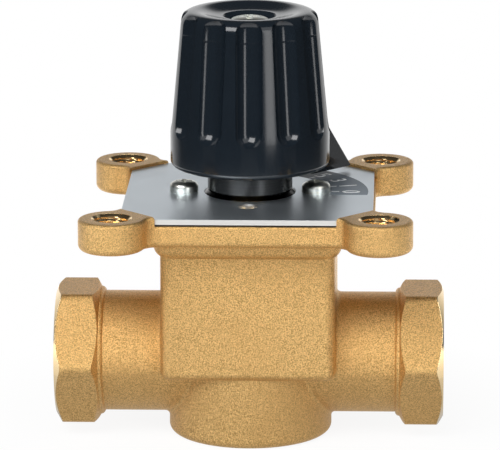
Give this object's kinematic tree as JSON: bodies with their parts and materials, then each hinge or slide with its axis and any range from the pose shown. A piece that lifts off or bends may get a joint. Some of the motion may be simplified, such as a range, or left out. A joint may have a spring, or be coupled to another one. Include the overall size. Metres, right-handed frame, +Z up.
{
  "type": "three-way mixing valve",
  "caption": "Brass mixing valve with hexagonal threaded ports, a lugged flange, a scale plate and a fluted black hand knob.",
  "frame": {"origin": "centre of the foot of the round boss under the chamber", "axes": "+Z up along the stem, +X along the right inlet port, +Y along the outlet port at the back"},
  "size_m": [0.1112, 0.1023, 0.123],
  "materials": {
    "cast_brass": "sand-cast and blasted",
    "machined_brass": "turned, bright",
    "plate_metal": "satin sheet with a printed scale",
    "zinc_steel": "zinc plated",
    "knob_plastic": "glossy moulding",
    "sleeve_black": "turned, satin",
    "seal_rubber": "moulded",
    "slip_plastic": "skived"
  },
  "bodies": {
    "valve": {"valve_body": "cast_brass", "cover": "machined_brass", "cover_seal": "seal_rubber", "cover_screw_1": "zinc_steel", "cover_screw_2": "zinc_steel", "cover_screw_3": "zinc_steel", "cover_screw_4": "zinc_steel", "scale_plate": "plate_metal", "plate_gasket": "seal_rubber", "plate_screw_left": "zinc_steel", "plate_screw_right": "zinc_steel", "stem_seal_upper": "seal_rubber", "stem_seal_lower": "seal_rubber", "thrust_washer_lower": "slip_plastic", "thrust_washer_upper": "slip_plastic"},
    "turning_set": {"rotor": "machined_brass", "stem_sleeve": "sleeve_black", "knob": "knob_plastic", "knob_screw": "zinc_steel", "knob_washer": "zinc_steel"}
  },
  "joints": [
    {"name": "knob_turn", "type": "hinge", "parent": "valve", "child": "turning_set", "pos_m": [0, 0, 0], "axis": [0, 0, 1], "range_deg": [-46.5, 43.5]}
  ]
}
